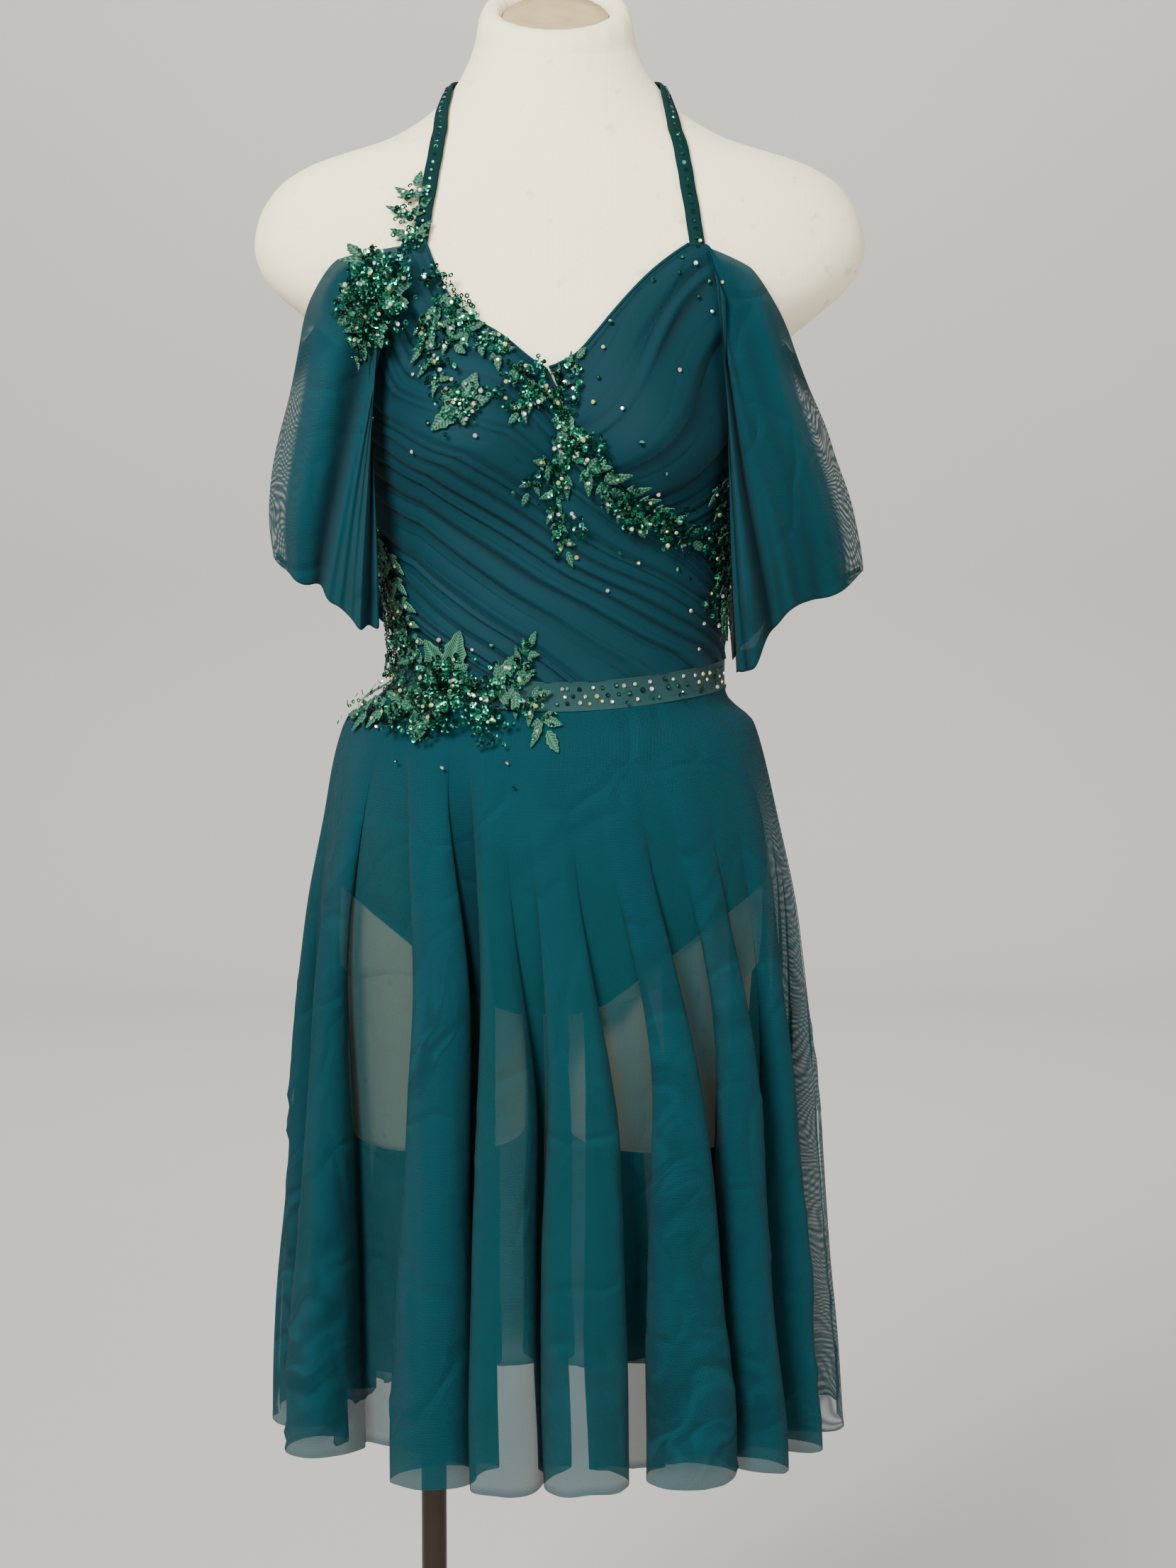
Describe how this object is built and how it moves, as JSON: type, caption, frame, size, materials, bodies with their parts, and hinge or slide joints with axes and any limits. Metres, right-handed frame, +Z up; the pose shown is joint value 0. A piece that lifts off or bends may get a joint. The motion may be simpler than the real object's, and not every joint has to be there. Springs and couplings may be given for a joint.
{
  "type": "lyrical dance costume on a dress form",
  "caption": "Lyrical dance costume with a ruched wrap bodice, draped sleeves, sheer circle skirt, halter strap and flower-lace applique, worn by a limbless dress form on a rod stand.",
  "frame": {"origin": "on the floor, under the middle of the round base", "axes": "+Z up; the costume faces -Y; +X is on the right of someone who looks at its front"},
  "size_m": [0.457, 0.3851, 1.5091],
  "materials": {
    "form_jersey": "cream knit cover",
    "neck_foam": "yellowed foam",
    "stand_steel": "dark steel, satin",
    "bodice_mesh": "teal stretch mesh over lining",
    "waistband_mesh": "teal mesh with small stones",
    "sheer_mesh": "single sheer teal mesh",
    "strap_mesh": "teal binding with a row of stones",
    "lace": "embroidered green lace with sequins"
  },
  "bodies": {
    "root": {"dress_form": "form_jersey", "neck_foam": "neck_foam", "stand_base": "stand_steel", "stand_rod": "stand_steel", "bodice_wrap": "bodice_mesh", "bodice_cup": "bodice_mesh", "bodice_back": "bodice_mesh", "waistband_front": "waistband_mesh", "waistband_back": "waistband_mesh", "briefs_front": "bodice_mesh", "briefs_back": "bodice_mesh", "skirt_front": "sheer_mesh", "skirt_back": "sheer_mesh", "sleeve_left": "sheer_mesh", "sleeve_right": "sheer_mesh", "strap_left": "strap_mesh", "strap_right": "strap_mesh", "lace_shoulder": "lace", "lace_left_cup": "lace", "lace_bust": "lace", "lace_waist": "lace", "lace_strap_spray": "lace", "lace_neckline": "lace", "lace_left_cup_spray": "lace", "lace_bust_spray": "lace", "lace_below_bust": "lace", "lace_diagonal": "lace", "lace_side": "lace", "lace_waist_side": "lace", "lace_waist_spray": "lace"}
  },
  "joints": []
}
